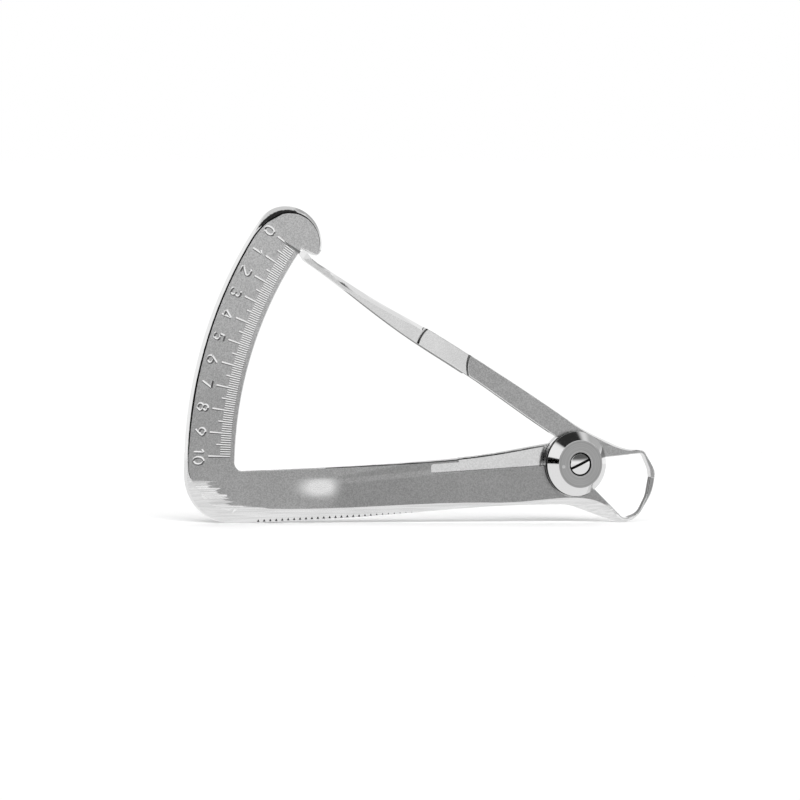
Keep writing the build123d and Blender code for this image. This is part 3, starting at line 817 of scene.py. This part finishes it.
def studio_world():
    """What the steel mirrors in each direction: x to the right, y to the back, z up. Each light is a mask
    with soft edges, and the brightest counts. Diffuse faces get less of it, and the camera sees white."""
    world = bpy.data.worlds.new("studio")
    world.use_nodes = True
    tree = world.node_tree
    background = tree.nodes["Background"]
    background.inputs["Color"].default_value = WHITE
    toward = add(tree, "ShaderNodeTexCoord").outputs["Generated"]
    x, y, z = add(tree, "ShaderNodeSeparateXYZ", {"Vector": toward}).outputs
    ray = add(tree, "ShaderNodeLightPath").outputs

    strip = mask(tree, (z, 0.0, 0.1, 0.92, 0.0))
    gloom = mask(tree, (z, 0.1, 0.45, 0.12, 0.03))
    wall = mask(tree, (y, -0.02, 0.08), (z, 0.5, 0.9, 1.0, 0.75))
    wall_shade = mask(tree, (x, 0.45, 0.65, 0.0, 0.5), (z, 0.1, 0.3), (y, 0.1, 0.2))
    wall_light = add(tree, "ShaderNodeMath", {0: 1.0, 1: wall_shade}, operation="SUBTRACT").outputs[0]
    lit_wall = add(tree, "ShaderNodeMath", {0: wall, 1: wall_light}, operation="MULTIPLY").outputs[0]
    window = mask(tree, (x, -0.53, -0.6), (z, 0.24, 0.28), (y, 0.1, 0.0))
    lamp = mask(tree, (x, 0.6, 0.68), (y, -0.5, -0.4), (z, 0.36, 0.44), (y, 0.1, 0.0))
    overhead = mask(tree, (z, 0.28, 0.36, 0.0, 0.9), (z, 0.86, 0.78), (y, 0.05, -0.05))
    # A dark gap in front on the left, which the polished bevels mirror as their dark edges
    gap = mask(tree, (x, -0.2, -0.35), (y, 0.1, 0.0), (z, -0.08, -0.05), (z, 0.28, 0.24))
    past_gap = add(tree, "ShaderNodeMath", {0: 1.0, 1: gap}, operation="SUBTRACT").outputs[0]

    level = strip
    for operation, value in (
        ("ADD", gloom),
        ("MAXIMUM", lit_wall),
        ("MAXIMUM", window),
        ("MAXIMUM", lamp),
        ("MAXIMUM", overhead),
        ("MULTIPLY", past_gap),
        ("MULTIPLY", mask(tree, (ray["Is Diffuse Ray"], 0.0, 1.0, 1.0, 0.3))),
        ("MAXIMUM", ray["Is Camera Ray"]),
    ):
        level = add(tree, "ShaderNodeMath", {0: level, 1: value}, operation=operation).outputs[0]
    tree.links.new(level, background.inputs["Strength"])
    return world


def low_lamp(name, toward_x, toward_y, energy):
    """A lamp low over the floor that shines along x and y and isn't mirrored in the steel."""
    data = bpy.data.lights.new(name, "SUN")
    data.energy = energy
    data.angle = math.radians(LAMP_BREADTH)
    lamp = bpy.data.objects.new(name, data)
    shines = Vector((toward_x, toward_y, -math.tan(math.radians(LAMP_HEIGHT))))
    lamp.rotation_euler = shines.to_track_quat("-Z", "Y").to_euler()
    lamp.visible_glossy = False
    bpy.context.scene.collection.objects.link(lamp)


floor_corners = FLOOR_HALF * np.array([(-1, -1), (1, -1), (1, 1), (-1, 1)])
floor = mesh_piece(
    "floor",
    np.column_stack([floor_corners, FLOOR_SLOPE * (floor_corners[:, 0] - JAW_FOOT_X)]),
    [(0, 1, 2, 3)],
)
set_materials(floor, [floor_material()])

bpy.context.scene.world = studio_world()

# Two broad lamps, in front and behind, which lay the gauge's soft shadow on the paper along its foot. They
# stand this many degrees over the floor and are this many degrees across
LAMP_HEIGHT = 35
LAMP_BREADTH = 65
low_lamp("front_lamp", 0.39, 0.92, 4.0)
low_lamp("back_lamp", -0.39, -0.92, 1.4)

# Camera: to the left of the gauge's front, a little above, far away
AZIMUTH = math.radians(-23.0)
ELEVATION = math.radians(2.0)
DISTANCE = 1.0
PIXELS_PER_MM = 5.058
PICTURE_PIXELS = 800
SENSOR = 36.0
forward = Vector(
    (
        -math.sin(AZIMUTH) * math.cos(ELEVATION),
        math.cos(AZIMUTH) * math.cos(ELEVATION),
        -math.sin(ELEVATION),
    )
)
centre = Vector(place(-38.2, 13.3, 0.0).tolist())
camera_data = bpy.data.cameras.new("camera")
camera_data.sensor_width = SENSOR
camera_data.lens = SENSOR * DISTANCE / (PICTURE_PIXELS / PIXELS_PER_MM * MM)
camera = bpy.data.objects.new("camera", camera_data)
camera.location = centre - forward * DISTANCE
camera.rotation_euler = forward.to_track_quat("-Z", "Y").to_euler()
bpy.context.scene.collection.objects.link(camera)
bpy.context.scene.camera = camera
bpy.context.scene.view_settings.view_transform = "Standard"
